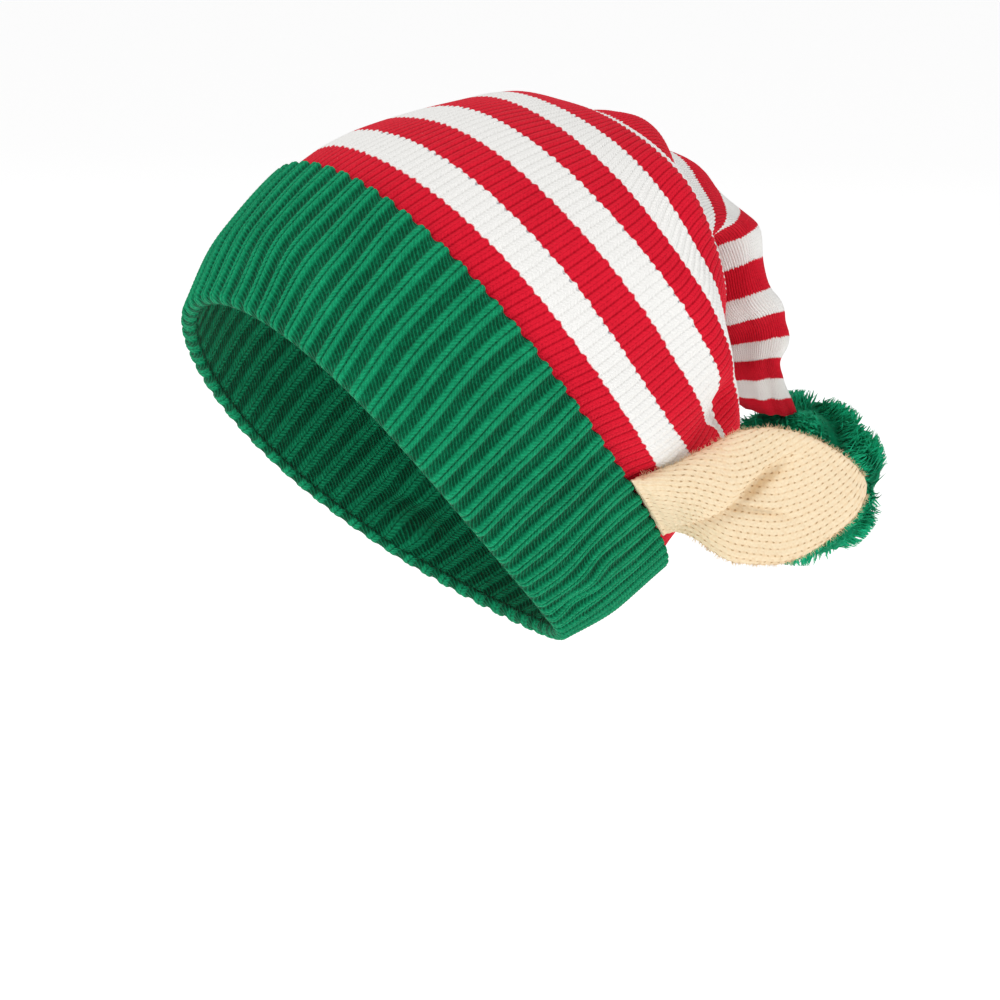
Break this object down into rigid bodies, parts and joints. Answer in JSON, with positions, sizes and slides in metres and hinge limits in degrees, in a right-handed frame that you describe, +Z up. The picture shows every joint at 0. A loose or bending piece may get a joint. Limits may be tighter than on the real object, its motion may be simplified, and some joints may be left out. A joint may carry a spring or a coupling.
{
  "type": "elf hat",
  "caption": "Striped knitted stocking cap with a ribbed turned-up cuff, two knitted ears and a pompom on its hanging tail.",
  "frame": {"origin": "middle of the opening at the cuff's rim, where the hat sits on the head", "axes": "+Z up as worn, -Y towards the forehead, +X towards the wearer's left ear; the tail hangs to +Y"},
  "size_m": [0.2394, 0.3001, 0.2144],
  "materials": {
    "green_rib_knit": "matte ribbed knit",
    "striped_knit": "matte fine rib knit, red and white stripes",
    "beige_knit": "matte stocking knit",
    "green_yarn": "matte loose yarn"
  },
  "bodies": {
    "root": {"cuff": "green_rib_knit", "crown": "striped_knit", "ear_left": "beige_knit", "ear_right": "beige_knit", "pompom": "green_yarn"}
  },
  "joints": []
}
